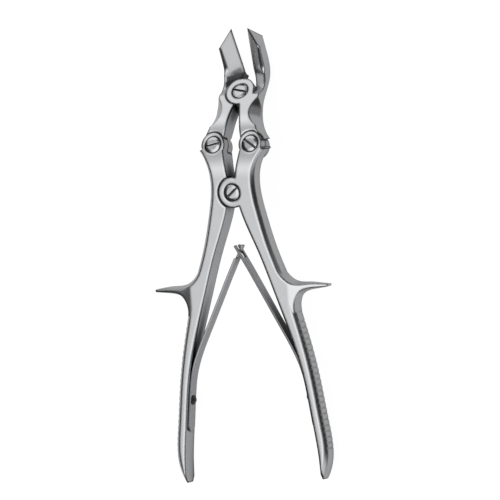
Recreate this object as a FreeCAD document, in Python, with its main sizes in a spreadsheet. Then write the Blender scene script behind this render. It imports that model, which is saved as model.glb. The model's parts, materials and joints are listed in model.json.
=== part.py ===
import FreeCAD, Part
import math
import os
import Sketcher
from FreeCAD import Placement, Rotation, Vector

# Compound bone cutting forceps, angled to the back, with finger spurs and a double leaf spring.
# It is drawn in the frame of the handles: X to the right, Y from the handle joint towards the
# blades, Z out of the front face at the handle joint. The finished pieces are then laid on a table.

os.makedirs("parts", exist_ok=True)
doc = FreeCAD.newDocument("bone_cutter")
sheet = doc.addObject("Spreadsheet::Sheet", "sizes")

SIZES = [
    # The linkage: all pivot axes lean so that, seen from the side, they meet at one apex
    ("apex_depth", 97.3, "apex of the pivot axes, behind the front face"),
    ("link_side", 12.5, "pivot between handle and jaw, from the middle plane"),
    ("link_lean", 17.3, "lean of the link pivots, degrees"),
    ("link_rise", 0.2, "front face at the link pivots, further from the apex than at the handle pivot"),
    ("jaw_lean", 38.0, "lean of the jaw pivot, degrees"),
    ("jaw_rise", -0.5, "front face at the jaw pivot, further from the apex than at the handle pivot"),
    ("jaw_open", 9.2, "each blade turned open about the jaw pivot, degrees"),
    # Lap joints
    ("lever_thick", 11.6, "thickness of the levers"),
    ("main_boss", 9.2, "radius of the boss at the handle and jaw pivots"),
    ("link_boss", 7.6, "radius of the boss at the link pivots"),
    ("seat_gap", 0.3, "gap round a boss in its seat"),
    ("lap_gap", 0.1, "gap between the two halves of a lap"),
    ("bend_radius", 40.0, "radius of the bends in the front face"),
    # Pivot screws
    ("head_radius", 4.9, "radius of a pivot screw's head"),
    ("head_deep", 2.4, "depth of a head's recess"),
    ("head_crown", 0.5, "height of a head above its seat's rim"),
    ("head_flat", 3.3, "radius of a head's flat middle"),
    ("head_gap", 0.3, "gap round a head in its recess"),
    ("shank_radius", 3.2, "radius of a pivot screw's shank"),
    ("shank_gap", 0.06, "running clearance round a shank"),
    ("shank_short", 0.25, "shank's end below the back face"),
    ("slot_wide", 1.1, "width of a screw slot"),
    ("slot_deep", 1.1, "depth of a screw slot"),
    # Handle levers, seen from the front: stations with their inner and outer sides, the first
    # two from the link pivot and the others from the handle pivot
    ("shoulder_y", -3.8, "handle's shoulder at the link"),
    ("shoulder_in", -6.9, "inner side at the shoulder"),
    ("shoulder_out", 10.5, "outer side at the shoulder"),
    ("throat_y", -12.8, "place below the shoulder"),
    ("throat_in", -8.7, "inner side at the throat"),
    ("throat_out", 5.0, "outer side at the throat"),
    ("waist_y", 6.5, "place beside the handle pivot"),
    ("waist_in", 2.4, "inner side at the waist"),
    ("waist_out", 15.9, "outer side at the waist"),
    ("hip_y", -13.5, "place below the pivot boss"),
    ("hip_in", 5.7, "inner side at the hip"),
    ("hip_out", 18.7, "outer side at the hip"),
    ("thigh_y", -35.5, "place between the pivot and the spur"),
    ("thigh_in", 14.5, "inner side at the thigh"),
    ("thigh_out", 24.6, "outer side at the thigh"),
    ("spur_y", -57.8, "level of the spur"),
    ("spur_in", 22.4, "inner side at the spur"),
    ("spur_out", 32.8, "outer side of the lever behind the spur"),
    ("palm_y", -78.0, "upper end of the grip"),
    ("palm_in", 29.2, "inner side at the palm"),
    ("palm_out", 38.8, "outer side at the palm"),
    ("grip_y", -109.0, "middle of the grip"),
    ("grip_in", 38.1, "inner side at the grip"),
    ("grip_out", 45.8, "outer side at the grip"),
    ("lower_y", -140.0, "lower part of the grip"),
    ("lower_in", 42.6, "inner side at the lower grip"),
    ("lower_out", 50.2, "outer side at the lower grip"),
    ("foot_y", -162.5, "where the end starts to round off"),
    ("foot_in", 45.1, "inner side at the foot"),
    ("foot_out", 51.3, "outer side at the foot"),
    ("toe_y", -170.5, "where the end turns in"),
    ("toe_in", 45.4, "inner side at the toe"),
    ("toe_out", 48.9, "outer side at the toe"),
    ("end_y", -174.5, "end of the handle"),
    ("end_in", 45.6, "inner side at the end"),
    ("end_out", 46.8, "outer side at the end"),
    ("crest_slope", 0.3, "outward run of a handle's outer side next to its crest, for each mm of depth"),
    ("flank_slope", 1.0, "the same next to the front and back faces"),
    ("flank_deep", 2.2, "depth of the flank next to each face"),
    # Finger spur
    ("spur_tip", 58.2, "reach of the spur from the middle plane"),
    ("spur_end", 1.0, "radius of the spur's tip"),
    ("spur_near", 1.4, "half height of the spur near its tip"),
    ("spur_mid", 2.3, "half height of the spur halfway"),
    ("spur_bevel", 0.45, "bevel along the spur's edges at its tip"),
    ("spur_taper", 3.2, "how far each face of the spur falls towards its tip"),
    # Grip grooves
    ("groove_count", 23, "grooves across each grip"),
    ("groove_pitch", 3.5, "distance from groove to groove"),
    ("groove_start", -79.0, "level of the first groove"),
    ("groove_wide", 1.7, "width of a groove"),
    ("groove_deep", 0.45, "depth of a groove"),
    # Jaw levers, seen from the front: the first two stations from the link pivot, the others
    # from the jaw pivot
    ("ankle_y", 1.8, "jaw's shoulder at the link"),
    ("ankle_in", -6.2, "inner side at the shoulder"),
    ("ankle_out", 9.4, "outer side at the shoulder"),
    ("calf_y", 8.4, "place above the shoulder"),
    ("calf_in", -7.8, "inner side at the calf"),
    ("calf_out", 5.4, "outer side at the calf"),
    ("neck_y", -13.1, "slender neck"),
    ("neck_in", 3.2, "inner side at the neck"),
    ("neck_out", 15.2, "outer side at the neck"),
    ("collar_y", -6.6, "place below the jaw boss"),
    ("collar_in", 1.3, "inner side at the collar"),
    ("collar_out", 14.5, "outer side at the collar"),
    ("heel_y", 7.4, "root of the blade"),
    ("heel_out", 14.4, "outer side at the root of the blade"),
    ("blade_out", 14.6, "outer side of the blade"),
    ("ankle_slope", 0.35, "outward run of a jaw's flanks at the link, for each mm of depth"),
    ("front_slope", 0.14, "the same at the blade, next to the front face"),
    ("back_slope", 0.52, "the same at the blade, next to the back face"),
    ("scoop_y", -12.6, "middle of the hollow in the neck's outer edge, from the jaw pivot"),
    ("scoop_radius", 17.0, "radius of that hollow"),
    # Blades
    ("tip_ahead", 37.3, "tip of the blades, ahead of the jaw pivot"),
    ("tip_below", 5.2, "tip of the blades, below the front face at the jaw pivot"),
    ("blade_rise", 19.9, "slope of the blades back towards the front, degrees"),
    ("blade_thick", 11.4, "thickness of the blades at their back"),
    ("edge_length", 27.4, "length of the cutting edge"),
    ("edge_gap", 0.05, "cutting edge from the closing plane"),
    ("relief", 28.0, "turn of the blade's inner side below its cutting edge, degrees"),
    ("bevel_wide", 7.6, "width of the blade's bevel, seen from the front"),
    ("bevel_radius", 8.0, "radius where the bevel runs out"),
    ("point_back", 1.12, "backward run of the blade's end for each mm outward"),
    ("point_bevel", 0.16, "backward run of the end's facets for each mm of depth"),
    ("valley_radius", 5.0, "radius between neck and blade in front"),
    ("heel_radius", 12.0, "radius of the heel at the back"),
    # Leaf springs
    ("leaf_thick", 1.3, "thickness of a spring leaf"),
    ("leaf_wide", 7.0, "width of a spring leaf"),
    ("leaf_foot", -143.5, "lower end of the leaf"),
    ("leaf_screw", -124.5, "screw that holds the leaf"),
    ("leaf_free", -113.0, "where the leaf leaves the handle"),
    ("bow_y", -81.0, "middle of the leaf's free length"),
    ("bow_x", 24.4, "side of the leaf there"),
    ("cross_y", -35.7, "where the two leaves cross"),
    ("cross_slope", 0.58, "outward run of a leaf at the crossing for each mm down"),
    ("leaf_past", 3.6, "tip beyond the crossing"),
    ("tongue_wide", 2.6, "width of the left leaf's tongue"),
    ("fork_gap", 3.4, "width of the right leaf's fork"),
    ("tongue_long", 7.5, "length of tongue and fork"),
    ("leaf_gap", 0.08, "gap between leaf and handle"),
    ("stud_head", 2.9, "radius of the leaf screw's head"),
    ("stud_flat", 1.3, "radius of that head's flat middle"),
    ("stud_skirt", 0.5, "height of that head's upright side"),
    ("stud_crown", 1.0, "height of that head's bevel"),
    ("stud_shank", 1.4, "radius of the leaf screw's shank"),
    ("stud_long", 4.2, "length of its shank in the handle"),
    # Places that follow from the sizes above
    ("link_ahead", "=(apex_depth + link_rise) * sin(link_lean * 1 deg)", "link pivots, ahead"),
    ("link_height", "=(apex_depth + link_rise) * cos(link_lean * 1 deg) - apex_depth", "their height"),
    ("jaw_ahead", "=(apex_depth + jaw_rise) * sin(jaw_lean * 1 deg)", "jaw pivot, ahead"),
    ("jaw_height", "=(apex_depth + jaw_rise) * cos(jaw_lean * 1 deg) - apex_depth", "its height"),
    ("tip_y", "=jaw_ahead + tip_ahead", "tip of the blades, ahead"),
    ("tip_z", "=jaw_height - tip_below", "its height"),
]

for row, (alias, value, note) in enumerate(SIZES, start=1):
    sheet.set("A%d" % row, note)
    sheet.set("B%d" % row, str(value))
    sheet.setAlias("B%d" % row, alias)
doc.recompute()


def size(name):
    """Value of one cell of the sheet."""
    return float(sheet.get(name))


def slope(name):
    """Tangent of an angle kept in the sheet."""
    return math.tan(math.radians(size(name)))


# Each pivot as expressions on the sheet: side, distance ahead, height and lean
PIVOTS = {
    "handle": ("0", "0", "0", "0"),
    "left_link": ("-sizes.link_side", "sizes.link_ahead", "sizes.link_height", "sizes.link_lean"),
    "right_link": ("sizes.link_side", "sizes.link_ahead", "sizes.link_height", "sizes.link_lean"),
    "jaw": ("0", "sizes.jaw_ahead", "sizes.jaw_height", "sizes.jaw_lean"),
}

# How far cutting tools reach past the metal, and the depth of every upright prism
BEYOND = 6.0
DEEP = 3 * size("lever_thick") - size("tip_z")
REACH = size("apex_depth")


class Line:
    """Straight line in the side view, through one point at one angle."""

    def __init__(self, y, z, angle):
        self.y, self.z, self.angle = y, z, math.radians(angle)

    def shifted(self, distance):
        """The parallel line, moved along its upward normal."""
        y = self.y - distance * math.sin(self.angle)
        z = self.z + distance * math.cos(self.angle)
        return Line(y, z, math.degrees(self.angle))

    def at(self, y):
        """Height of the line at y."""
        return self.z + (y - self.y) * math.tan(self.angle)

    def meets(self, other):
        """Point where two lines cross."""
        mine, theirs = math.tan(self.angle), math.tan(other.angle)
        y = (other.z - self.z + mine * self.y - theirs * other.y) / (mine - theirs)
        return Vector(0, y, self.at(y))


BLADE_LINE = Line(size("tip_y"), size("tip_z"), size("blade_rise"))
FRONT = [
    Line(0.0, 0.0, 0.0),
    Line(size("link_ahead"), size("link_height"), -size("link_lean")),
    Line(size("jaw_ahead"), size("jaw_height"), -size("jaw_lean")),
    BLADE_LINE.shifted(size("blade_thick") / 2),
]
BACK = [line.shifted(-size("lever_thick")) for line in FRONT[:3]]
BACK.append(BLADE_LINE.shifted(-size("blade_thick") / 2))


def height(lines, y):
    """Height of the front or back face at y, bends left sharp."""
    return max(min(line.at(y) for line in lines[:3]), lines[3].at(y))


def rounded(points, radii):
    """Edges through the points, with each inner corner rounded by its radius."""
    edges = []
    start = points[0]
    for before, corner, after, radius in zip(points, points[1:], points[2:], radii):
        arrive = (corner - before).normalize()
        leave = (after - corner).normalize()
        turn = arrive.getAngle(leave)
        reach = radius * math.tan(turn / 2)
        bisector = (leave - arrive).normalize()
        middle = corner + bisector * (radius / math.cos(turn / 2) - radius)
        edges.append(Part.LineSegment(start, corner - arrive * reach).toShape())
        edges.append(Part.Arc(corner - arrive * reach, middle, corner + leave * reach).toShape())
        start = corner + leave * reach
    edges.append(Part.LineSegment(start, points[-1]).toShape())
    return edges


def side_slab():
    """Slab between the front and back faces, across the whole width."""
    near, far = size("end_y") - BEYOND, size("tip_y") + 4 * BEYOND
    width = 2 * (size("spur_tip") + BEYOND)

    def chain(lines, radii):
        inner = [one.meets(two) for one, two in zip(lines, lines[1:])]
        ends = [Vector(0, near, lines[0].at(near)), Vector(0, far, lines[-1].at(far))]
        return rounded([ends[0]] + inner + [ends[1]], radii)

    bend, thick = size("bend_radius"), size("lever_thick")
    front = chain(FRONT, [bend, bend, size("valley_radius")])
    back = chain(BACK, [bend - thick, bend - thick, size("heel_radius")])
    low = Part.LineSegment(Vector(0, near, FRONT[0].at(near)), Vector(0, near, BACK[0].at(near)))
    high = Part.LineSegment(Vector(0, far, FRONT[-1].at(far)), Vector(0, far, BACK[-1].at(far)))
    wire = Part.Wire(Part.__sortEdges__(front + back + [low.toShape(), high.toShape()]))
    slab = Part.Face(wire).extrude(Vector(width, 0, 0))
    slab.translate(Vector(-width / 2, 0, 0))
    return slab


def curve(points):
    """Smooth curve through points of the front view."""
    spline = Part.BSplineCurve()
    spline.interpolate([Vector(x, y, 0) for x, y in points])
    return spline


def outline(runs):
    """Face inside runs of points: a run of two is straight, a longer one is a smooth curve."""
    edges = []
    for run, following in zip(runs, runs[1:] + runs[:1]):
        if len(run) > 2:
            edges.append(curve(run).toShape())
        elif len(run) == 2:
            edges.append(Part.LineSegment(Vector(*run[0], 0), Vector(*run[1], 0)).toShape())
        if Vector(*run[-1], 0).distanceToPoint(Vector(*following[0], 0)) > 1e-6:
            edges.append(Part.LineSegment(Vector(*run[-1], 0), Vector(*following[0], 0)).toShape())
    return Part.Face(Part.Wire(Part.__sortEdges__(edges)))


def prism(face):
    """Face carried from far below to above the front face."""
    low = face.copy()
    low.translate(Vector(0, 0, -DEEP))
    return low.extrude(Vector(0, 0, DEEP + BEYOND))


# Pivot from which each station is measured; the stations left out stand at the handle pivot
LINK_PLACE = (size("link_side"), size("link_ahead"))
JAW_PLACE = (0.0, size("jaw_ahead"))
MEASURED_FROM = {"shoulder": LINK_PLACE, "throat": LINK_PLACE, "ankle": LINK_PLACE, "calf": LINK_PLACE,
                 "neck": JAW_PLACE, "collar": JAW_PLACE, "heel": JAW_PLACE}


def stations(names, side):
    """Points of the front view at the named stations, on one side of the lever."""
    points = []
    for name in names:
        from_x, from_y = MEASURED_FROM.get(name, (0.0, 0.0))
        points.append((from_x + size(name + side), from_y + size(name + "_y")))
    return points


def flank(points, places, runs, sign):
    """Solid whose outer side passes through the places and slopes with its own run at each station.

    Seen from the front, the side runs outward with the depth where sign is 1, inward where it is -1.
    """
    inner = -size("spur_tip") - BEYOND - max(runs) * DEEP
    last_y = points[-1][1]
    past = points[0][1] + math.copysign(10, points[0][1] - last_y)
    wires = []
    for level in (-DEEP, BEYOND):
        moved = [(x - sign * run * (level - z), y) for (x, z), (_, y), run in zip(places, points, runs)]
        corners = [(inner, last_y), (inner, past), (moved[0][0] + 10, past)]
        wire = outline([moved] + [[corner] for corner in corners]).OuterWire
        wire.translate(Vector(0, 0, level))
        wires.append(wire)
    return Part.makeLoft(wires, True, True)


def flanked(points, crest_runs, face_run=0.0, face_deep=0.0):
    """Solids that leave a lever its outer side: a crest halfway between the faces, a flank each way.

    Where a face run is given, the side breaks a second time at that depth from each face.
    """
    solids = []
    for lines, runs, sign in ((FRONT, crest_runs[0], 1), (BACK, crest_runs[1], -1)):
        crest = [(x, (height(FRONT, y) + height(BACK, y)) / 2) for x, y in points]
        solids.append(flank(points, crest, runs, sign))
        if face_deep:
            breaks = []
            for (x, middle), (_, y), run in zip(crest, points, runs):
                level = height(lines, y) - sign * face_deep
                breaks.append((x - run * abs(level - middle), level))
            solids.append(flank(points, breaks, [face_run] * len(points), sign))
    return solids


def blank(name, face, flanks, extra=(), tools=()):
    """Forged lever before its joints are cut: front view, side view and flanks in common."""
    shape = prism(face).common(side_slab())
    for side in flanks:
        shape = shape.common(side)
    for piece in extra:
        shape = shape.fuse(piece)
    if tools:
        shape = shape.cut(list(tools))
    feature = doc.addObject("Part::Feature", name)
    feature.Shape = shape.removeSplitter()
    mirror = doc.addObject("Part::Mirroring", name + "_mirrored")
    mirror.Source = feature
    mirror.Normal = Vector(1, 0, 0)
    return feature, mirror


def sideways(along):
    """Direction square to a lever's side, towards its outer side."""
    return Vector(abs(along.y), -along.x * math.copysign(1, along.y), 0)


def spur_horn():
    """Finger spur: a flattened horn that grows out of the handle's outer side."""
    level, tip = size("spur_y"), size("spur_tip")
    root, thick = size("spur_out"), size("lever_thick")
    halfway = (root + tip) / 2 + 1.5
    end, near, half = size("spur_end"), size("spur_near"), size("spur_mid")
    top_x, top_y = size("thigh_out") + 3.6, size("thigh_y") - 9.0
    low_x, low_y = size("palm_out") - 0.8, size("palm_y") + 5.0
    inside = top_x - 6.5
    face_deep = size("flank_deep")
    flank_wide = size("crest_slope") * (thick / 2 - face_deep) + size("flank_slope") * face_deep
    upper = [(top_x, top_y), (root - 0.9, level + 7.0), (root + 4.0, level + 3.4),
             (halfway, level + half), (tip - 3.7, level + near), (tip - end, level + end)]
    lower = [(tip - end, level - end), (tip - 3.7, level - near), (halfway, level - half),
             (root + 8.2, level - 4.5), (root + 5.8, level - 8.2), (low_x, low_y)]

    def inset(points, z, bevel):
        spline = curve(points)
        moved = []
        for x, y in points:
            along = Vector(*spline.tangent(spline.parameter(Vector(x, y, 0)))[0])
            share = (tip - x) / (tip - top_x)
            width = bevel * (size("spur_bevel") + (flank_wide - size("spur_bevel")) * share)
            moved.append((x + along.y * width, y - along.x * width))
        edge = curve(moved).toShape()
        edge.translate(Vector(0, 0, z))
        return edge, Vector(*moved[0], z), Vector(*moved[-1], z)

    def wire(bevel, z):
        top, top_start, top_end = inset(upper, z, bevel)
        low, low_start, low_end = inset(lower, z, bevel)
        nose = Part.Arc(top_end, Vector(tip - bevel * size("spur_bevel"), level, z), low_start)
        inner = [low_end, Vector(low_x - 7, low_y, z), Vector(inside, top_y, z), top_start]
        straight = [Part.LineSegment(one, two).toShape() for one, two in zip(inner, inner[1:])]
        return Part.Wire([top, nose.toShape(), low] + straight)

    front_half = Part.makeLoft([wire(0, -thick / 2), wire(1, 0)], True, True)
    back_half = Part.makeLoft([wire(1, -thick), wire(0, -thick / 2)], True, True)
    horn = front_half.fuse(back_half)
    fall = size("spur_taper")
    side = [Vector(inside - 1, 0, 0), Vector(root, 0, 0), Vector(tip + 1, 0, -fall),
            Vector(tip + 1, 0, fall - thick), Vector(root, 0, -thick), Vector(inside - 1, 0, -thick)]
    taper = Part.Face(Part.makePolygon(side + side[:1]))
    taper.translate(Vector(0, low_y - BEYOND, 0))
    return horn.common(taper.extrude(Vector(0, top_y - low_y + 2 * BEYOND, 0)))


HANDLE_STATIONS = ["shoulder", "throat", "waist", "hip", "thigh", "spur", "palm", "grip",
                   "lower", "foot", "toe", "end"]
HANDLE_OUTER = stations(HANDLE_STATIONS, "_out")
HANDLE_INNER = stations(HANDLE_STATIONS, "_in")


def place_on(points, y):
    """Point and direction of the smooth curve through the points, at level y."""
    spline = curve(points)
    level = Part.LineSegment(Vector(-200, y, 0), Vector(200, y, 0))
    x = spline.intersect(level)[0].X
    direction = Vector(*spline.tangent(spline.parameter(Vector(x, y, 0)))[0])
    return Vector(x, y, 0), direction


def groove_tools():
    """Wedges that cut the grooves across the crest of the grip, along both its sides."""
    wedges = []
    deep, half = size("groove_deep"), size("groove_wide") / 2
    for number in range(int(size("groove_count"))):
        y = size("groove_start") - number * size("groove_pitch")
        point, along = place_on(HANDLE_OUTER, y)
        outward = sideways(along)
        point.z = -size("lever_thick") / 2
        bottom = point - outward * deep
        upper = bottom + (outward * deep + along * half) * 3
        lower = bottom + (outward * deep - along * half) * 3
        section = Part.Face(Part.makePolygon([bottom, upper, lower, bottom]))
        for face in (1, -1):
            lean = Vector(0, 0, face) - outward * size("crest_slope")
            wedges.append(section.extrude(lean * size("lever_thick")))
    return wedges


def inside_of(inner, shoulder):
    """Front view of a lever up to its inner side; its outer side is left to the flanks."""
    far = size("spur_tip") + BEYOND
    slant = (shoulder[1] - LINK_PLACE[1]) / (shoulder[0] - LINK_PLACE[0])
    corner = (far, LINK_PLACE[1] + (far - LINK_PLACE[0]) * slant)
    return outline([inner, [LINK_PLACE], [corner], [(far, inner[0][1])]])


handle_face = inside_of(HANDLE_INNER[::-1], HANDLE_OUTER[0])
crest_runs = [size("crest_slope")] * len(HANDLE_OUTER)
handle_flanks = flanked(HANDLE_OUTER, (crest_runs, crest_runs), size("flank_slope"), size("flank_deep"))
handle_blank, handle_mirror = blank("handle_blank", handle_face, handle_flanks, extra=[spur_horn()],
                                    tools=groove_tools())


def opening_radius(y, z):
    """Distance of a place in the middle plane from the jaw pivot's axis."""
    lean = math.radians(size("jaw_lean"))
    return (y - size("jaw_ahead")) * math.cos(lean) - (z - size("jaw_height")) * math.sin(lean)


def edge_side(y, z):
    """Side of the cutting edge: it lies in a plane through the jaw pivot's axis."""
    return opening_radius(y, z) * slope("jaw_open") + size("edge_gap")


def in_blade(shape):
    """Shape drawn about the blade's tip, Y along the blade and Z across it, put in its place."""
    turn = Rotation(Vector(1, 0, 0), size("blade_rise"))
    shape.Placement = Placement(Vector(0, size("tip_y"), size("tip_z")), turn)
    return shape


def edge_root():
    """Place in the middle plane level with the lower end of the cutting edge."""
    length, rise = size("edge_length"), math.radians(size("blade_rise"))
    return size("tip_y") - length * math.cos(rise), size("tip_z") - length * math.sin(rise)


def bevel_tool(side):
    """Grinding of one bevel: a flat that runs out in a radius towards the joint."""
    length = size("edge_length")
    tip_x = edge_side(size("tip_y"), size("tip_z"))
    root = Vector(edge_side(*edge_root()), -length, 0)
    along = (Vector(tip_x, 0, 0) - root).normalize()
    across = Vector(size("bevel_wide"), 0, side * size("blade_thick") / 2).normalize()
    out = across.cross(along) * side
    radius, angle = size("bevel_radius"), math.radians(75)
    lift = root - across * (2 * BEYOND)

    def spot(run, rise_out):
        return lift + along * run + out * rise_out

    half = spot(-radius * math.sin(angle / 2), radius * (1 - math.cos(angle / 2)))
    full = spot(-radius * math.sin(angle), radius * (1 - math.cos(angle)))
    far = length + 2 * BEYOND
    edges = [Part.LineSegment(spot(far, 0), spot(0, 0)).toShape(),
             Part.Arc(spot(0, 0), half, full).toShape(),
             Part.LineSegment(full, spot(-radius, 3 * radius)).toShape(),
             Part.LineSegment(spot(-radius, 3 * radius), spot(far, 3 * radius)).toShape(),
             Part.LineSegment(spot(far, 3 * radius), spot(far, 0)).toShape()]
    return in_blade(Part.Face(Part.Wire(edges)).extrude(across * REACH))


def point_tool(side):
    """Slanted end of the blade: one facet each side of its middle."""
    tip_x = edge_side(size("tip_y"), size("tip_z"))
    back = size("point_back")
    corners = [Vector(tip_x - REACH, REACH * back, 0), Vector(tip_x + REACH, -REACH * back, 0),
               Vector(tip_x + REACH, 2 * REACH * back, 0), Vector(tip_x - REACH, 2 * REACH * back, 0)]
    face = Part.Face(Part.makePolygon(corners + corners[:1]))
    return in_blade(face.extrude(Vector(0, -size("point_bevel"), side) * 2 * BEYOND))


def about_jaw_pivot(shape):
    """Shape drawn about the jaw pivot, Y along the closing plane and Z along the axis, put in place."""
    opened = Rotation(Vector(0, 0, 1), -size("jaw_open"))
    leaned = Rotation(Vector(1, 0, 0), -size("jaw_lean"))
    place = Vector(0, size("jaw_ahead"), size("jaw_height"))
    shape.Placement = Placement(place, leaned.multiply(opened)).multiply(shape.Placement)
    return shape


def closing_tool():
    """Everything past the plane in which the two blades meet."""
    start = Vector(size("edge_gap") - REACH, size("main_boss") / 2, -REACH)
    return about_jaw_pivot(Part.makeBox(REACH, REACH, 2 * REACH, start))


def relief_tool():
    """Inner side below the cutting edge: it falls back so that the blades clear the joint."""
    radius = opening_radius(*edge_root()) / math.cos(math.radians(size("jaw_open")))
    box = Part.makeBox(REACH, radius, 2 * REACH, Vector(-REACH, -radius, -REACH))
    turn = Rotation(Vector(0, 0, 1), size("relief"))
    box.Placement = Placement(Vector(size("edge_gap"), radius, 0), turn)
    above = Part.makeBox(2 * REACH, REACH, 2 * REACH, Vector(-REACH, size("main_boss") / 2, -REACH))
    return about_jaw_pivot(box.common(above))


def scoop_tool():
    """Round hollow along the front of the neck's outer edge."""
    y = size("jaw_ahead") + size("scoop_y")
    lean = math.radians(size("link_lean") + size("jaw_lean")) / 2
    normal = Vector(0, math.sin(lean), math.cos(lean))
    crest = Vector(size("neck_out"), y, (height(FRONT, y) + height(BACK, y)) / 2)
    outward = (Vector(1, 0, 0) + normal).normalize()
    axis = (Vector(1, 0, 0) - normal).normalize()
    radius = size("scoop_radius")
    return Part.makeCylinder(radius, REACH, crest + outward * radius - axis * REACH / 2, axis)


JAW_STATIONS = ["ankle", "calf", "neck", "collar"]
blade_end = size("tip_y") + BEYOND
JAW_OUTER = stations(JAW_STATIONS + ["heel"], "_out")
JAW_OUTER += [(size("blade_out"), (JAW_OUTER[-1][1] + size("tip_y")) / 2), (size("blade_out"), blade_end)]
jaw_inner = stations(JAW_STATIONS, "_in")[::-1]
ankle_slant = (JAW_OUTER[0][1] - LINK_PLACE[1]) / (JAW_OUTER[0][0] - LINK_PLACE[0])
far_x = size("spur_tip") + BEYOND
jaw_corner = (far_x, LINK_PLACE[1] + (far_x - LINK_PLACE[0]) * ankle_slant)
jaw_face = outline([jaw_inner, [LINK_PLACE], [jaw_corner], [(far_x, blade_end)],
                    [(size("collar_in"), blade_end)]])


def jaw_runs(name):
    """Run of one jaw flank at each station: it changes evenly from the link to the jaw pivot."""
    start, end = size("ankle_slope"), size(name)
    link_y, jaw_y = size("link_ahead"), size("jaw_ahead")
    shares = [min(max((y - link_y) / (jaw_y - link_y), 0.0), 1.0) for _, y in JAW_OUTER]
    return [start + (end - start) * share for share in shares]


jaw_tools = [closing_tool(), relief_tool(), bevel_tool(1), bevel_tool(-1), point_tool(1),
             point_tool(-1), scoop_tool()]
jaw_flanks = flanked(JAW_OUTER, (jaw_runs("front_slope"), jaw_runs("back_slope")))
jaw_blank, jaw_mirror = blank("jaw_blank", jaw_face, jaw_flanks, tools=jaw_tools)

# Depths below the front face, as expressions: the two sides of a lap, and past both faces
FRONT_HALF = "-(sizes.lever_thick / 2 - sizes.lap_gap / 2)"
BACK_HALF = "-(sizes.lever_thick / 2 + sizes.lap_gap / 2)"
BACK_FACE = "-sizes.lever_thick"
PAST_FRONT = str(BEYOND)
PAST_BACK = "-(sizes.lever_thick + %s)" % BEYOND


def round_bar(name, pivot, radius, low, high):
    """Cylinder about a pivot's axis between two depths, all bound to the sheet."""
    bar = doc.addObject("Part::Cylinder", name)
    x, y, z, lean = PIVOTS[pivot]
    base = "vector(%s; %s + (%s) * sin((%s) * 1 deg); %s + (%s) * cos((%s) * 1 deg))"
    base = base % (x, y, low, lean, z, low, lean)
    bar.setExpression("Placement", "placement(%s; rotation(vector(1; 0; 0); -(%s)))" % (base, lean))
    bar.setExpression("Radius", radius)
    bar.setExpression("Height", "(%s) - (%s)" % (high, low))
    return bar


def lapped(name, source, laps, drilled=()):
    """Lever with its laps: each lap keeps the front or the back half of its boss."""
    seats, bosses, holes = [], [], list(drilled)
    for pivot, front, boss in laps:
        label = "%s_%s" % (name, pivot)
        gap = "sizes.%s + sizes.seat_gap" % boss
        shank = "sizes.shank_radius + sizes.shank_gap"
        if front:
            seats.append(round_bar(label + "_seat", pivot, gap, PAST_BACK, FRONT_HALF))
            bosses.append(round_bar(label + "_boss", pivot, "sizes." + boss, FRONT_HALF, "0"))
            recess = "sizes.head_radius + sizes.head_gap"
            holes.append(round_bar(label + "_recess", pivot, recess, "-sizes.head_deep", PAST_FRONT))
        else:
            seats.append(round_bar(label + "_seat", pivot, gap, BACK_HALF, PAST_FRONT))
            bosses.append(round_bar(label + "_boss", pivot, "sizes." + boss, BACK_FACE, BACK_HALF))
        holes.append(round_bar(label + "_hole", pivot, shank, PAST_BACK, PAST_FRONT))
    seat_group = doc.addObject("Part::MultiFuse", name + "_seats")
    seat_group.Shapes = seats
    relieved = doc.addObject("Part::Cut", name + "_relieved")
    relieved.Base, relieved.Tool = source, seat_group
    with_bosses = doc.addObject("Part::MultiFuse", name + "_with_bosses")
    with_bosses.Shapes = [relieved] + bosses
    with_bosses.Refine = True
    hole_group = doc.addObject("Part::MultiFuse", name + "_holes")
    hole_group.Shapes = holes
    lever = doc.addObject("Part::Cut", name)
    lever.Base, lever.Tool = with_bosses, hole_group
    lever.Label = name
    return lever


def stud_place(side):
    """Place of a leaf screw: its axis stands square on the handle's inner side."""
    point, along = place_on(HANDLE_INNER, size("leaf_screw"))
    inward = sideways(along) * -1
    point.z = -size("lever_thick") / 2
    if side < 0:
        point.x, inward.x = -point.x, -inward.x
    return point, inward


def stud_hole(name, side):
    """Drilled hole for a leaf screw, from the leaf into the handle."""
    bar = doc.addObject("Part::Cylinder", name)
    point, inward = stud_place(side)
    start = point + inward * (2 * size("leaf_thick"))
    bar.Placement = Placement(start, Rotation(Vector(0, 0, 1), inward * -1))
    bar.setExpression("Radius", "sizes.stud_shank + sizes.shank_gap")
    bar.setExpression("Height", "sizes.stud_long + 2 * sizes.leaf_thick + sizes.lap_gap")
    return bar


left_drill = stud_hole("left_stud_hole", -1)
right_drill = stud_hole("right_stud_hole", 1)
levers = [
    lapped("left_handle", handle_mirror,
           [("handle", False, "main_boss"), ("left_link", True, "link_boss")], [left_drill]),
    lapped("right_handle", handle_blank,
           [("handle", True, "main_boss"), ("right_link", True, "link_boss")], [right_drill]),
    lapped("left_jaw", jaw_mirror,
           [("jaw", False, "main_boss"), ("left_link", False, "link_boss")]),
    lapped("right_jaw", jaw_blank,
           [("jaw", True, "main_boss"), ("right_link", False, "link_boss")]),
]


def leaf_line():
    """Points of the middle of a leaf: flat along the handle, then bowed free of it."""
    points = []
    lift = size("leaf_gap") + size("leaf_thick") / 2
    low, high, count = size("leaf_foot"), size("leaf_free"), 6
    for number in range(count):
        point, along = place_on(HANDLE_INNER, low + (high - low) * number / (count - 1))
        centre = point - sideways(along) * lift
        points.append((centre.x, centre.y))
    past = size("leaf_past")
    points.append((size("bow_x"), size("bow_y")))
    points.append((0.0, size("cross_y")))
    points.append((-past * size("cross_slope"), size("cross_y") + past))
    return points


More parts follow.
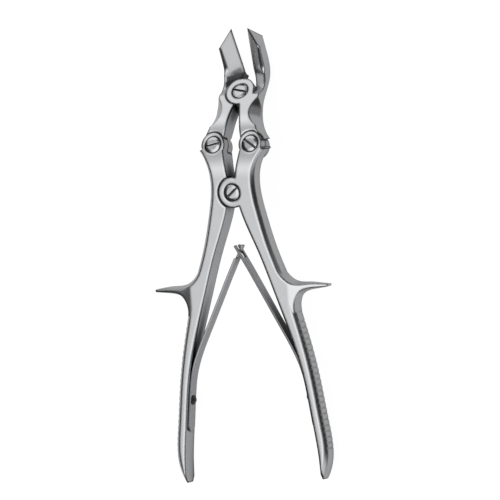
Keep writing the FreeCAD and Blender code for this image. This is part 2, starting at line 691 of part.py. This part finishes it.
def rounded_foot(points, width, centre):
    """Block that leaves a leaf whole but rounds its lower end."""
    spline = curve(points)
    along = Vector(*spline.tangent(spline.FirstParameter)[0])
    start = Vector(*points[0], centre) + along * (width / 2)
    square = Vector(along.y, -along.x, 0)
    disc = Part.makeCylinder(width / 2, 20, start - square * 10, square)
    block = Part.makeBox(200, 200, width + 2, Vector(-100, 0, -width / 2 - 1))
    turn = math.degrees(math.atan2(-along.x, along.y))
    block.Placement = Placement(start, Rotation(Vector(0, 0, 1), turn))
    return block.fuse(disc)


def leaf(name, side, drill):
    """Leaf spring that crosses the other one: the left has a tongue, the right a fork."""
    middle = leaf_line()
    spline = curve(middle)
    half = size("leaf_thick") / 2
    sides = {1: [], -1: []}
    for x, y in middle:
        along = Vector(*spline.tangent(spline.parameter(Vector(x, y, 0)))[0])
        for sign in sides:
            sides[sign].append((x + sign * half * along.y, y - sign * half * along.x))
    width, centre = size("leaf_wide"), -size("lever_thick") / 2
    face = outline([sides[1], sides[-1][::-1]])
    face.translate(Vector(0, 0, centre - width / 2))
    strip = face.extrude(Vector(0, 0, width)).common(rounded_foot(middle, width, centre))
    step = size("cross_y") + size("leaf_past") - size("tongue_long")
    tongue, fork = size("tongue_wide"), size("fork_gap")
    if side < 0:
        for low in (centre + tongue / 2, centre - tongue / 2 - width):
            strip = strip.cut(Part.makeBox(40, 40, width, Vector(-20, step, low)))
        strip = strip.mirror(Vector(0, 0, 0), Vector(1, 0, 0))
    else:
        strip = strip.cut(Part.makeBox(40, 40, fork, Vector(-20, step, centre - fork / 2)))
    strip_feature = doc.addObject("Part::Feature", name + "_strip")
    strip_feature.Shape = strip
    spring = doc.addObject("Part::Cut", name)
    spring.Base, spring.Tool = strip_feature, drill
    spring.Label = name
    return spring


springs = [leaf("left_spring", -1, left_drill), leaf("right_spring", 1, right_drill)]


def plane_of(body, role):
    """Origin plane of a body, found by its role."""
    return [feature for feature in body.Origin.OriginFeatures if feature.Role == role][0]


def bound(sketch, kind, places, expression, start=1.0):
    """Constraint of a sketch whose value comes from the sheet."""
    number = sketch.addConstraint(Sketcher.Constraint(kind, *places, start))
    sketch.setExpression("Constraints[%d]" % number, expression)


def turned(name, head, flat, head_low, crown, shank, shank_low):
    """Screw turned about its own Z axis: a bevelled head on a shank, sizes given as expressions."""
    body = doc.addObject("PartDesign::Body", name)
    sketch = body.newObject("Sketcher::SketchObject", name + "_section")
    sketch.AttachmentSupport = [(plane_of(body, "XZ_Plane"), "")]
    sketch.MapMode = "FlatFace"
    spots = [Vector(0, -9, 0), Vector(2, -9, 0), Vector(2, -2, 0), Vector(4, -2, 0), Vector(4, 0, 0),
             Vector(3, 0.6, 0), Vector(0, 0.6, 0)]
    for start, end in zip(spots, spots[1:] + spots[:1]):
        sketch.addGeometry(Part.LineSegment(start, end))
    for line in range(7):
        sketch.addConstraint(Sketcher.Constraint("Coincident", line, 2, (line + 1) % 7, 1))
    for line in (0, 2, 5):
        sketch.addConstraint(Sketcher.Constraint("Horizontal", line))
    for line in (1, 3):
        sketch.addConstraint(Sketcher.Constraint("Vertical", line))
    for line in (0, 6):
        sketch.addConstraint(Sketcher.Constraint("PointOnObject", line, 1, -2))
    bound(sketch, "DistanceX", (-1, 1, 1, 1), shank, 2.0)
    bound(sketch, "DistanceX", (-1, 1, 3, 1), head, 4.0)
    bound(sketch, "DistanceX", (-1, 1, 5, 1), flat, 3.0)
    bound(sketch, "DistanceY", (3, 1, 3, 2), head_low, 2.0)
    bound(sketch, "DistanceY", (3, 2, 6, 1), crown, 0.6)
    bound(sketch, "DistanceY", (1, 1, 1, 2), shank_low, 7.0)
    sketch.addConstraint(Sketcher.Constraint("PointOnObject", 3, 2, -1))
    turning = body.newObject("PartDesign::Revolution", name + "_turning")
    turning.Profile = sketch
    turning.ReferenceAxis = (sketch, ["V_Axis"])
    turning.Angle = 360
    body.Label = name
    return body


def slotted(body, level, reach, turn):
    """Straight slot across a screw's head."""
    sketch = body.newObject("Sketcher::SketchObject", body.Name + "_slot_outline")
    sketch.AttachmentSupport = [(plane_of(body, "XY_Plane"), "")]
    sketch.MapMode = "FlatFace"
    sketch.AttachmentOffset = Placement(Vector(0, 0, 0.5), Rotation(Vector(0, 0, 1), turn))
    sketch.setExpression("AttachmentOffset.Base.z", level)
    corners = [Vector(-6, -0.5, 0), Vector(6, -0.5, 0), Vector(6, 0.5, 0), Vector(-6, 0.5, 0)]
    for start, end in zip(corners, corners[1:] + corners[:1]):
        sketch.addGeometry(Part.LineSegment(start, end))
    for line in range(4):
        sketch.addConstraint(Sketcher.Constraint("Coincident", line, 2, (line + 1) % 4, 1))
    for line in (0, 2):
        sketch.addConstraint(Sketcher.Constraint("Horizontal", line))
    for line in (1, 3):
        sketch.addConstraint(Sketcher.Constraint("Vertical", line))
    sketch.addConstraint(Sketcher.Constraint("Symmetric", 0, 1, 2, 1, -1, 1))
    bound(sketch, "DistanceY", (1, 1, 1, 2), "sizes.slot_wide", 1.0)
    bound(sketch, "DistanceX", (0, 1, 0, 2), reach, 12.0)
    doc.recompute()
    before = body.Shape.Volume
    slot = body.newObject("PartDesign::Pocket", body.Name + "_slot")
    slot.Profile = sketch
    slot.setExpression("Length", "sizes.slot_deep")
    doc.recompute()
    if body.Shape.Volume > before - 0.5:
        raise RuntimeError("the slot of %s cuts nothing" % body.Name)


def pivot_screw(name, pivot, turn):
    """Slotted screw of one pivot, its head sunk in the front face."""
    low = "sizes.lever_thick - sizes.shank_short - sizes.head_deep + sizes.lap_gap"
    body = turned(name, "sizes.head_radius", "sizes.head_flat", "sizes.head_deep - sizes.lap_gap",
                  "sizes.head_crown", "sizes.shank_radius", low)
    slotted(body, "sizes.head_crown", "2 * sizes.head_radius + 2", turn)
    x, y, z, lean = PIVOTS[pivot]
    place = "placement(vector(%s; %s; %s); rotation(vector(1; 0; 0); -(%s)))" % (x, y, z, lean)
    body.setExpression("Placement", place)
    return body


def leaf_screw(name, side):
    """Round-headed screw that holds a leaf to its handle."""
    body = turned(name, "sizes.stud_head", "sizes.stud_flat", "sizes.stud_skirt", "sizes.stud_crown",
                  "sizes.stud_shank", "sizes.stud_long + sizes.leaf_thick")
    point, inward = stud_place(side)
    lift = size("leaf_gap") + size("leaf_thick") + size("shank_gap") + size("stud_skirt")
    seat = point + inward * lift
    body.Placement = Placement(seat, Rotation(Vector(0, 0, 1), inward))
    return body


screws = [
    pivot_screw("handle_screw", "handle", 39.0),
    pivot_screw("jaw_screw", "jaw", -12.4),
    pivot_screw("left_link_screw", "left_link", 12.6),
    pivot_screw("right_link_screw", "right_link", -33.7),
    leaf_screw("left_spring_screw", -1),
    leaf_screw("right_spring_screw", 1),
]
pieces = levers + springs + screws
doc.recompute()

for thing in doc.Objects:
    if "Invalid" in thing.State or "Error" in thing.State:
        raise RuntimeError("%s did not build" % thing.Name)


def laid_down():
    """Placement on a table: the forceps rests on its heel and the ends of its handles."""
    corner = BACK[2].meets(BACK[3])
    arrive = Vector(0, math.cos(BACK[2].angle), math.sin(BACK[2].angle))
    leave = Vector(0, math.cos(BACK[3].angle), math.sin(BACK[3].angle))
    radius = size("heel_radius")
    bisector = (leave - arrive).normalize()
    heel = corner + bisector * (radius / math.cos(arrive.getAngle(leave) / 2))
    end = Vector(0, size("end_y"), -size("lever_thick"))
    reach = heel - end
    tilt = math.atan2(reach.z, reach.y) - math.asin(radius / reach.Length)
    return Placement(Vector(0, 0, 0), Rotation(Vector(1, 0, 0), -math.degrees(tilt)))


flat = laid_down()
box = FreeCAD.BoundBox()
for piece in pieces:
    shape = piece.Shape.copy()
    shape.Placement = flat.multiply(shape.Placement)
    box.add(shape.optimalBoundingBox(True, False))
middle = Vector((box.XMin + box.XMax) / 2, (box.YMin + box.YMax) / 2, box.ZMin)
table = Placement(middle * -1, Rotation()).multiply(flat)

for piece in pieces:
    shape = piece.Shape.copy()
    if shape.isNull() or not shape.isValid() or not shape.Solids:
        raise RuntimeError("%s is not a sound solid" % piece.Label)
    shape.Placement = table.multiply(shape.Placement)
    shape.exportStep("parts/%s.step" % piece.Label)
    print("%s: %d solid, %.1f mm3, %d faces" % (piece.Label, len(shape.Solids), shape.Volume,
                                                len(shape.Faces)))

size_x, size_y, size_z = box.XLength, box.YLength, box.ZLength
print("whole forceps: %.2f x %.2f x %.2f mm" % (size_x, size_y, size_z))
for pivot, (x, y, z, lean) in PIVOTS.items():
    side = {"left_link": -size("link_side"), "right_link": size("link_side")}.get(pivot, 0.0)
    ahead = {"handle": 0.0, "jaw": size("jaw_ahead")}.get(pivot, size("link_ahead"))
    depth = {"handle": 0.0, "jaw": size("jaw_height")}.get(pivot, size("link_height"))
    angle = {"handle": 0.0, "jaw": size("jaw_lean")}.get(pivot, size("link_lean"))
    place = table.multVec(Vector(side, ahead, depth))
    tilted = Rotation(Vector(1, 0, 0), -angle).multVec(Vector(0, 0, 1))
    axis = table.Rotation.multVec(tilted)
    print("pivot %s at %.4f %.4f %.4f, axis %.6f %.6f %.6f" % (pivot, place.x, place.y, place.z,
                                                             axis.x, axis.y, axis.z))
print("table move %.5f %.5f %.5f, turn %.5f degrees" % (table.Base.x, table.Base.y, table.Base.z,
                                                        math.degrees(table.Rotation.Angle)))
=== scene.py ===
import json
import math

import bmesh
import bpy
from mathutils import Matrix, Vector


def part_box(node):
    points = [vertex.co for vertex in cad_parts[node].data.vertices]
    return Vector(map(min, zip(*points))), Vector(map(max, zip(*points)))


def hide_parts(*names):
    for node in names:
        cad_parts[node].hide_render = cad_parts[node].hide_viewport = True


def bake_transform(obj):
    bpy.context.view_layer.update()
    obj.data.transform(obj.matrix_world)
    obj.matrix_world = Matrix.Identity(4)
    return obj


bl_info = {
    "name": "Bone cutting forceps",
    "version": (1, 0, 0),
    "blender": (4, 5, 0),
    "location": "View3D > Sidebar > Bone cutter",
    "description": "Dresses the packed forceps in satin and polished stainless steel and lights it",
    "category": "Object",
}

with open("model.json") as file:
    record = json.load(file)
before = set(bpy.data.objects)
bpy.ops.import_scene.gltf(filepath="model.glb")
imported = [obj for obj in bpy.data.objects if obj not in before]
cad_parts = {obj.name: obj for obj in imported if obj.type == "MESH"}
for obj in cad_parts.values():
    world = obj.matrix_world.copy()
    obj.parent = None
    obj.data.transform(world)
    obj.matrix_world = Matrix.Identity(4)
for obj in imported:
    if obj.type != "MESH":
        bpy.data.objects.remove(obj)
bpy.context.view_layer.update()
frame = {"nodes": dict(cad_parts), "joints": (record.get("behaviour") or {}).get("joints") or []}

MM = 0.001
LEVERS = ("left_handle", "right_handle", "left_jaw", "right_jaw")
PIVOT_SCREWS = ("handle_screw", "jaw_screw", "left_link_screw", "right_link_screw")
LEAF_SCREWS = ("left_spring_screw", "right_spring_screw")
SPRINGS = {"left_spring": ("left_handle_body", "right_handle_body"),
           "right_spring": ("right_handle_body", "left_handle_body")}

# Polish: the belt's marks, the slow drift of the roughness and the samples of the broken edges
BELT_STRETCH = 0.04
MARK_STRENGTH, MARK_DEPTH = 0.12, 0.02 * MM
DRIFT_SIZE = 9 * MM
EDGE_SAMPLES = 12

# Painted shade and painted reflections: corners are darkened by how open they are, lines by how far the
# normal of an edge is turned, and the sheared edges of a strip by how much they face up
PAINTED_SHADE_COLOUR = "#121213"
CORNER_SAMPLES, CORNER_REACH = 8, 10 * MM
CORNER_DARK, CORNER_UNSHADED = 0.40, 0.80
LINE_DARK, LINE_UNSHADED, LINE_TONE = 0.78, 0.955, 0.1
RIM_STARTS, RIM_FULL = 0.55, 0.8

# Finish of each kind of piece; the grips' edge radius grows between two places along Y
GRIP_EDGE = 2.6 * MM
GRIP_STARTS, GRIP_FULL = -24 * MM, -44 * MM
SCREW_ROUGHNESS, SCREW_EDGE = 0.18, 0.8 * MM
DOME_ROUGHNESS, DOME_EDGE, DOME_REACH = 0.2, 0.1 * MM, 3 * MM
STRIP_ROUGHNESS, STRIP_EDGE = 0.26, 0.5 * MM
# Brightness of the painted reflection on the up-facing edges of each leaf
STRIP_RIM_TONES = {"left": 0.8, "right": 0.45}

# Leaves: the number of slices
LEAF_SLICES = 50

# Studio: each soft box has its direction, its inner and outer half angle in degrees and its brightness
STUDIO_GREY = 0.035
SOFT_BOXES = (
    ((0.00, -0.12, 0.99), 14, 42, 1.30),
    ((-0.45, 0.34, 0.82), 5, 30, 0.45),
    ((-0.45, 0.80, 0.39), 14, 36, 0.98),
    ((0.59, -0.65, 0.45), 10, 30, 0.85),
    ((0.75, 0.65, 0.14), 14, 34, 0.20),
)
FLOOR_REACH, FLOOR_DROP = 4.0, 0.02 * MM
FLOOR_GLOW = 1.2
GLOW_FOR_CAMERA, GLOW_FOR_STEEL = 0.8, 0.2
KEY_PLACE, KEY_SIZE, KEY_POWER = (-0.6, -0.25, 1.2), 0.5, 1.0

# Camera: the picture is square, and the handle joint is at this column and row of it
PICTURE_SIDE = 500
JOINT_COLUMN, JOINT_ROW = 231.7, 192.9
SENSOR_WIDTH = 36
CLIP_NEAR, CLIP_FAR = 0.05, 20


def linear(hex_colour):
    """Linear RGBA of an sRGB hex colour."""
    channels = [int(hex_colour[i:i + 2], 16) / 255 for i in (1, 3, 5)]
    curved = [c / 12.92 if c <= 0.04045 else ((c + 0.055) / 1.055) ** 2.4 for c in channels]
    return (*curved, 1.0)


def node(tree, kind, settings=None, inputs=None, links=None):
    """Adds one shader node with its settings, input values and links."""
    made = tree.nodes.new(kind)
    for name, value in (settings or {}).items():
        setattr(made, name, value)
    for name, value in (inputs or {}).items():
        made.inputs[name].default_value = value
    for name, socket in (links or {}).items():
        tree.links.new(socket, made.inputs[name])
    return made


def product(tree, first, second):
    """The product of two sockets."""
    made = node(tree, "ShaderNodeMath", settings={"operation": "MULTIPLY"}, links={0: first, 1: second})
    return made.outputs["Value"]


class SteelSettings(bpy.types.PropertyGroup):
    lever_colour: bpy.props.StringProperty(
        name="Lever steel", description="Colour of the satin levers", default="#CFD0D2")
    spring_colour: bpy.props.StringProperty(
        name="Spring steel", description="Colour of the spring leaves", default="#BFC0C3")
    screw_colour: bpy.props.StringProperty(
        name="Screw steel", description="Colour of the turned screws", default="#C9CACC")
    # Its default is a painted reflection: the leaf screws are coloured dark, as if they mirrored the
    # dark handles
    leaf_screw_painted_reflection: bpy.props.StringProperty(
        name="Leaf screw steel", description="Colour of the small screws of the leaves",
        default="#4E4F52")
    lever_roughness: bpy.props.FloatProperty(
        name="Lever roughness", description="Roughness of the satin levers",
        default=0.2, min=0.0, max=1.0)
    edge_radius: bpy.props.FloatProperty(
        name="Edge radius", description="Radius to which the polisher has broken the edges",
        default=2.2 * MM, subtype="DISTANCE", unit="LENGTH")
    grind_spacing: bpy.props.FloatProperty(
        name="Grind spacing", description="Distance between the marks of the finishing belt",
        default=0.4 * MM, subtype="DISTANCE", unit="LENGTH")


class StudioSettings(bpy.types.PropertyGroup):
    pixel: bpy.props.FloatProperty(
        name="Pixel", description="Size of one pixel at the handle joint", default=0.6 * MM,
        subtype="DISTANCE", unit="LENGTH")
    yaw: bpy.props.FloatProperty(
        name="Yaw", description="Turn of the camera to the right", default=math.radians(27),
        subtype="ANGLE")
    pitch: bpy.props.FloatProperty(
        name="Pitch", description="Tilt of the camera towards the blades", default=math.radians(4.5),
        subtype="ANGLE")
    roll: bpy.props.FloatProperty(
        name="Roll", description="Roll of the camera", default=math.radians(4.3), subtype="ANGLE")
    distance: bpy.props.FloatProperty(
        name="Distance", description="Distance of the camera", default=8.0,
        subtype="DISTANCE", unit="LENGTH")
    floor_colour: bpy.props.StringProperty(
        name="Floor", description="Colour of the studio floor", default="#C8C8C8")


def belt_marks(tree, place, spacing):
    """Height of the finishing belt's marks, which run along the lever and so are stretched along Y."""
    stretched = node(tree, "ShaderNodeMapping",
                     inputs={"Scale": (1 / spacing, BELT_STRETCH / spacing, 1 / spacing)},
                     links={"Vector": place.outputs["Object"]})
    marks = node(tree, "ShaderNodeTexNoise", inputs={"Scale": 1.0, "Detail": 2.0},
                 links={"Vector": stretched.outputs["Vector"]})
    return marks.outputs["Fac"]


def uneven_roughness(tree, place, roughness):
    """Roughness that drifts a little from one hand-polished stretch to the next."""
    cloud = node(tree, "ShaderNodeTexNoise", inputs={"Scale": 1 / DRIFT_SIZE, "Detail": 3.0},
                 links={"Vector": place.outputs["Object"]})
    rough = node(tree, "ShaderNodeMapRange",
                 inputs={"From Min": 0.3, "From Max": 0.7,
                         "To Min": roughness * 0.9, "To Max": roughness * 1.15},
                 links={"Value": cloud.outputs["Fac"]})
    return rough.outputs["Result"]


def broken_edges(tree, place, edge, grip_edge):
    """Normals that round every edge by the radius edge, as the polisher has broken them."""
    rounded = node(tree, "ShaderNodeBevel", settings={"samples": EDGE_SAMPLES}, inputs={"Radius": edge})
    if grip_edge:
        # The grips are rounded for the palm: their edges are broken more from the finger spurs back
        along = node(tree, "ShaderNodeSeparateXYZ", links={"Vector": place.outputs["Object"]})
        radius = node(tree, "ShaderNodeMapRange",
                      inputs={"From Min": GRIP_STARTS, "From Max": GRIP_FULL,
                              "To Min": edge, "To Max": grip_edge},
                      links={"Value": along.outputs["Y"]})
        tree.links.new(radius.outputs["Result"], rounded.inputs["Radius"])
    return rounded.outputs["Normal"]


def brightness(tree, rounded, reach, rim_tone):
    """Brightness of the painted shade and painted reflections, from 0 where the steel is painted dark to
    1 on open faces.
    """
    # Painted shade: corners, the rings round screw heads and the places under the lapped halves are
    # darkened by how closed in they are
    openness = node(tree, "ShaderNodeAmbientOcclusion", settings={"samples": CORNER_SAMPLES},
                    inputs={"Distance": reach})
    painted_corner_shading = node(tree, "ShaderNodeMapRange",
                   inputs={"From Min": CORNER_DARK, "From Max": CORNER_UNSHADED},
                   links={"Value": openness.outputs["AO"]})
    # Painted reflection: broken edges and the grooves of the grips are darkened, as if they mirrored the
    # dark sides of the studio
    facet = node(tree, "ShaderNodeNewGeometry")
    agreement = node(tree, "ShaderNodeVectorMath", settings={"operation": "DOT_PRODUCT"},
                     links={0: rounded, 1: facet.outputs["True Normal"]})
    line = node(tree, "ShaderNodeMapRange",
                inputs={"From Min": LINE_DARK, "From Max": LINE_UNSHADED, "To Min": LINE_TONE},
                links={"Value": agreement.outputs["Value"]})
    bright = product(tree, painted_corner_shading.outputs["Result"], line.outputs["Result"])
    if rim_tone:
        # The broad sides of a leaf stand upright and are ground; what faces up is its sheared edge,
        # which a painted reflection darkens
        height = node(tree, "ShaderNodeSeparateXYZ", links={"Vector": facet.outputs["True Normal"]})
        rim = node(tree, "ShaderNodeMapRange",
                   inputs={"From Min": RIM_STARTS, "From Max": RIM_FULL,
                           "To Min": 1.0, "To Max": rim_tone},
                   links={"Value": height.outputs["Z"]})
        bright = product(tree, bright, rim.outputs["Result"])
    return bright


def steel(name, colour, roughness, edge, spacing, reach=CORNER_REACH, grip_edge=None, rim_tone=None):
    """Ground and polished stainless steel: a broad sheen, faint belt marks, and painted shade in corners
    and along edges.

    edge is the radius of the broken edges and grip_edge theirs at the grips. reach is how far out of
    its corners the steel is painted dark. rim_tone is the brightness of the painted reflection on a
    strip's sheared edges.
    """
    material = bpy.data.materials.new(name)
    material.use_nodes = True
    tree = material.node_tree
    tree.nodes.clear()
    place = node(tree, "ShaderNodeTexCoord")
    marks = belt_marks(tree, place, spacing)
    rough = uneven_roughness(tree, place, roughness)
    rounded = broken_edges(tree, place, edge, grip_edge)
    bump = node(tree, "ShaderNodeBump", inputs={"Strength": MARK_STRENGTH, "Distance": MARK_DEPTH},
                links={"Height": marks, "Normal": rounded})
    # Painted shade and painted reflections: the steel's colour is mixed towards a near black by the
    # brightness
    # The mix node's colour sockets share their names with others of it, so numbers tell them apart
    tone = node(tree, "ShaderNodeMix", settings={"data_type": "RGBA"},
                inputs={6: linear(PAINTED_SHADE_COLOUR), 7: linear(colour)},
                links={0: brightness(tree, rounded, reach, rim_tone)})
    shader = node(tree, "ShaderNodeBsdfPrincipled", inputs={"Metallic": 1.0},
                  links={"Base Color": tone.outputs[2], "Roughness": rough,
                         "Normal": bump.outputs["Normal"]})
    node(tree, "ShaderNodeOutputMaterial", links={"Surface": shader.outputs["BSDF"]})
    return material


def dress(thing, material):
    """Gives an object one material."""
    thing.data.materials.clear()
    thing.data.materials.append(material)


class BONE_OT_levers(bpy.types.Operator):
    """Gives the four forged levers their satin finish"""
    bl_idname = "bone.levers"
    bl_label = "Levers"

    def execute(self, context):
        look = context.scene.bone_steel
        # Forged stainless steel, ground on a belt and buffed to a satin sheen
        satin = steel("forged_stainless_steel_satin_polished", look.lever_colour, look.lever_roughness,
                      look.edge_radius, look.grind_spacing, grip_edge=GRIP_EDGE)
        for name in LEVERS:
            dress(frame["nodes"][name], satin)
        return {"FINISHED"}


class BONE_OT_screws(bpy.types.Operator):
    """Gives the screws their turned and polished finish"""
    bl_idname = "bone.screws"
    bl_label = "Screws"

    def execute(self, context):
        look = context.scene.bone_steel
        # Turned stainless steel with a polished, slightly domed head
        polished = steel("turned_stainless_steel_polished", look.screw_colour, SCREW_ROUGHNESS,
                         SCREW_EDGE, look.grind_spacing)
        for name in PIVOT_SCREWS:
            dress(frame["nodes"][name], polished)
        # Painted reflection: the small domes of the leaf screws are coloured dark, as if they mirrored
        # the dark handles beside them
        small = steel("turned_stainless_steel_small_dome", look.leaf_screw_painted_reflection, DOME_ROUGHNESS,
                      DOME_EDGE, look.grind_spacing, reach=DOME_REACH)
        for name in LEAF_SCREWS:
            dress(frame["nodes"][name], small)
        return {"FINISHED"}


class BONE_OT_springs(bpy.types.Operator):
    """Makes sliced copies of the two spring leaves, which on the real forceps bend as the handles close
    """
    bl_idname = "bone.springs"
    bl_label = "Springs"

    def execute(self, context):
        look = context.scene.bone_steel
        # Hardened stainless strip, finely ground; each leaf has its own copy, whose painted reflection
        # makes the right leaf's edges darker
        strips = [steel("hardened_stainless_spring_strip_" + side, look.spring_colour, STRIP_ROUGHNESS,
                        STRIP_EDGE, look.grind_spacing, rim_tone=tone)
                  for side, tone in STRIP_RIM_TONES.items()]
        for strip, (name, (own, other)) in zip(strips, SPRINGS.items()):
            mesh = frame["nodes"][name].data.copy()
            leaf = bpy.data.objects.new(name + "_leaf", mesh)
            context.scene.collection.objects.link(leaf)
            low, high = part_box(name)
            # The strip is sliced across, so that it can bend
            cut = bmesh.new()
            cut.from_mesh(mesh)
            for number in range(1, LEAF_SLICES):
                y = low.y + (high.y - low.y) * number / LEAF_SLICES
                every = cut.verts[:] + cut.edges[:] + cut.faces[:]
                bmesh.ops.bisect_plane(cut, geom=every, plane_co=(0, y, 0), plane_no=(0, 1, 0))
            cut.to_mesh(mesh)
            cut.free()
            dress(leaf, strip)
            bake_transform(leaf)
            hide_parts(name)
        return {"FINISHED"}


class BONE_OT_stage(bpy.types.Operator):
    """Sets the floor, the key lamp, the surroundings and the camera"""
    bl_idname = "bone.stage"
    bl_label = "Stage"

    def execute(self, context):
        studio = context.scene.bone_studio
        self.floor(context, studio)
        self.surroundings(context)
        self.key_lamp(context)
        self.camera(context, studio)
        context.scene.view_settings.view_transform = "Standard"
        return {"FINISHED"}

    def floor(self, context, studio):
        material = bpy.data.materials.new("pale_paper_sweep")
        material.use_nodes = True
        tree = material.node_tree
        tree.nodes.clear()
        ray = node(tree, "ShaderNodeLightPath")
        # White sweep of paper: the camera sees it nearly white, the steel a good deal greyer
        mirrored = node(tree, "ShaderNodeMath", settings={"operation": "MAXIMUM"},
                        links={0: ray.outputs["Is Glossy Ray"], 1: ray.outputs["Is Transmission Ray"]})
        dimmed = node(tree, "ShaderNodeMath", settings={"operation": "MULTIPLY"},
                      inputs={1: GLOW_FOR_STEEL}, links={0: mirrored.outputs["Value"]})
        share = node(tree, "ShaderNodeMath", settings={"operation": "MULTIPLY_ADD"},
                     inputs={1: GLOW_FOR_CAMERA},
                     links={0: ray.outputs["Is Camera Ray"], 2: dimmed.outputs["Value"]})
        paper = node(tree, "ShaderNodeBsdfDiffuse", inputs={"Color": linear(studio.floor_colour)})
        white = node(tree, "ShaderNodeEmission", inputs={"Color": (1, 1, 1, 1), "Strength": FLOOR_GLOW})
        mixed = node(tree, "ShaderNodeMixShader", links={"Fac": share.outputs["Value"]})
        tree.links.new(paper.outputs["BSDF"], mixed.inputs[1])
        tree.links.new(white.outputs["Emission"], mixed.inputs[2])
        node(tree, "ShaderNodeOutputMaterial", links={"Surface": mixed.outputs["Shader"]})
        mesh = bpy.data.meshes.new("floor")
        corners = ((-1, -1), (1, -1), (1, 1), (-1, 1))
        mesh.from_pydata([(x * FLOOR_REACH, y * FLOOR_REACH, 0) for x, y in corners], [], [(0, 1, 2, 3)])
        mesh.materials.append(material)
        sheet = bpy.data.objects.new("floor", mesh)
        sheet.location.z = -FLOOR_DROP
        context.scene.collection.objects.link(sheet)

    def surroundings(self, context):
        world = bpy.data.worlds.new("studio")
        world.use_nodes = True
        tree = world.node_tree
        tree.nodes.clear()
        ray = node(tree, "ShaderNodeLightPath")
        place = node(tree, "ShaderNodeTexCoord")
        # A dark grey studio with soft boxes that the steel mirrors; the camera sees it white
        level = node(tree, "ShaderNodeValue")
        level.outputs[0].default_value = STUDIO_GREY
        total = level.outputs[0]
        for toward, inner, outer, bright in SOFT_BOXES:
            aim = Vector(toward).normalized()
            near = node(tree, "ShaderNodeVectorMath", settings={"operation": "DOT_PRODUCT"},
                        inputs={1: aim}, links={0: place.outputs["Generated"]})
            glow = node(tree, "ShaderNodeMapRange", settings={"interpolation_type": "SMOOTHSTEP"},
                        inputs={"From Min": math.cos(math.radians(outer)),
                                "From Max": math.cos(math.radians(inner)), "To Max": bright},
                        links={"Value": near.outputs["Value"]})
            added = node(tree, "ShaderNodeMath", settings={"operation": "ADD"},
                         links={0: total, 1: glow.outputs["Result"]})
            total = added.outputs["Value"]
        tent = node(tree, "ShaderNodeBackground", inputs={"Strength": 1.0}, links={"Color": total})
        white = node(tree, "ShaderNodeBackground", inputs={"Color": (1, 1, 1, 1), "Strength": 1.0})
        mixed = node(tree, "ShaderNodeMixShader", links={"Fac": ray.outputs["Is Camera Ray"]})
        tree.links.new(tent.outputs["Background"], mixed.inputs[1])
        tree.links.new(white.outputs["Background"], mixed.inputs[2])
        node(tree, "ShaderNodeOutputWorld", links={"Surface": mixed.outputs["Shader"]})
        context.scene.world = world

    def key_lamp(self, context):
        light = bpy.data.lights.new("key", "AREA")
        light.size = KEY_SIZE
        light.energy = KEY_POWER
        lamp = bpy.data.objects.new("key", light)
        lamp.location = KEY_PLACE
        # Its mirror image would burn out the front faces
        lamp.visible_glossy = False
        lamp.rotation_euler = (-lamp.location).to_track_quat("-Z", "Y").to_euler()
        context.scene.collection.objects.link(lamp)

    def camera(self, context, studio):
        # The camera looks along the handle joint's axis, turned by yaw, then pitch, then roll
        joint = frame["joints"][0]
        pivot, axis = Vector(joint["pos_m"]), -Vector(joint["axis"])
        across, ahead = Vector((1, 0, 0)), axis.cross(Vector((1, 0, 0)))
        right = across * math.cos(studio.yaw) - axis * math.sin(studio.yaw)
        back = across * math.sin(studio.yaw) + axis * math.cos(studio.yaw)
        up = ahead * math.cos(studio.pitch) - back * math.sin(studio.pitch)
        back = back * math.cos(studio.pitch) + ahead * math.sin(studio.pitch)
        turn = studio.roll
        right, up = (right * math.cos(turn) - up * math.sin(turn),
                     right * math.sin(turn) + up * math.cos(turn))
        centre = PICTURE_SIDE / 2
        middle = (pivot + right * (centre - JOINT_COLUMN) * studio.pixel
                  - up * (centre - JOINT_ROW) * studio.pixel)
        data = bpy.data.cameras.new("camera")
        data.sensor_width = SENSOR_WIDTH
        data.lens = SENSOR_WIDTH * studio.distance / (PICTURE_SIDE * studio.pixel)
        data.clip_start, data.clip_end = CLIP_NEAR, CLIP_FAR
        seen = bpy.data.objects.new("camera", data)
        turned = Matrix((right, up, back)).transposed().to_4x4()
        seen.matrix_world = Matrix.Translation(middle + back * studio.distance) @ turned
        context.scene.collection.objects.link(seen)
        context.scene.camera = seen


class BONE_PT_panel(bpy.types.Panel):
    bl_idname = "BONE_PT_panel"
    bl_label = "Bone cutter"
    bl_space_type = "VIEW_3D"
    bl_region_type = "UI"
    bl_category = "Bone cutter"

    def draw(self, context):
        column = self.layout.column()
        for group in (context.scene.bone_steel, context.scene.bone_studio):
            for name in group.__annotations__:
                column.prop(group, name)
        for operator in OPERATORS:
            column.operator(operator.bl_idname)


OPERATORS = (BONE_OT_levers, BONE_OT_screws, BONE_OT_springs, BONE_OT_stage)
CLASSES = (SteelSettings, StudioSettings) + OPERATORS + (BONE_PT_panel,)


def register():
    for each in CLASSES:
        bpy.utils.register_class(each)
    bpy.types.Scene.bone_steel = bpy.props.PointerProperty(type=SteelSettings)
    bpy.types.Scene.bone_studio = bpy.props.PointerProperty(type=StudioSettings)


def unregister():
    del bpy.types.Scene.bone_studio
    del bpy.types.Scene.bone_steel
    for each in reversed(CLASSES):
        bpy.utils.unregister_class(each)


def main():
    register()
    bpy.ops.bone.levers()
    bpy.ops.bone.screws()
    bpy.ops.bone.springs()
    bpy.ops.bone.stage()


if __name__ == "__main__":
    main()
